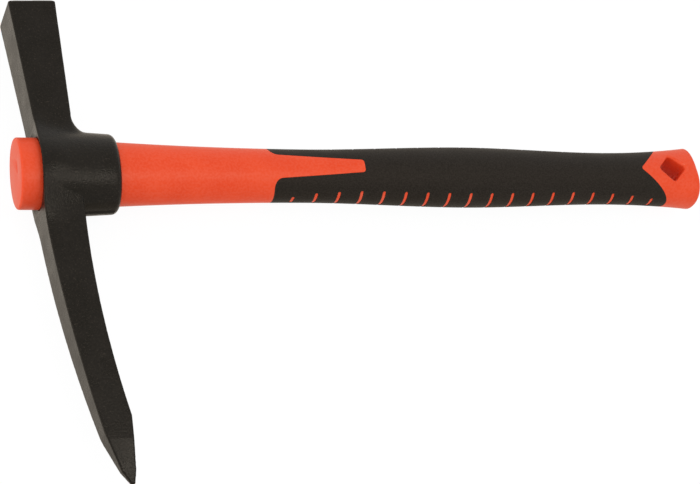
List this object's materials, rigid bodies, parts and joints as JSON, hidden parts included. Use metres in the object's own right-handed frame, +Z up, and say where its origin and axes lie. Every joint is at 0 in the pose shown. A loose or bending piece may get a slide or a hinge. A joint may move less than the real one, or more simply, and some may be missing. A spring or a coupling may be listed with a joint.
{
  "type": "pick hammer",
  "caption": "Short mattock of the mason's pick hammer kind: dark forged head with square hammer poll and curved pick on an oval orange handle with slotted black grip and hanging hole",
  "frame": {"origin": "Middle of the footprint, on the ground that the tool lies on with one cheek of the eye boss", "axes": "+X along the handle from the button to the butt, +Y across the head towards the hammer face, +Z up"},
  "size_m": [0.4, 0.2714, 0.0376],
  "materials": {
    "head_lacquer": "dark brown-black lacquer over forged steel, satin, with worn edges",
    "orange_plastic": "fine satin moulded orange",
    "black_rubber": "matt black soft rubber",
    "glass_fibre": "pale glass-fibre rod"
  },
  "bodies": {
    "root": {"forged_head": "head_lacquer", "handle_body": "orange_plastic", "soft_grip": "black_rubber", "core_rod": "glass_fibre"}
  },
  "joints": []
}
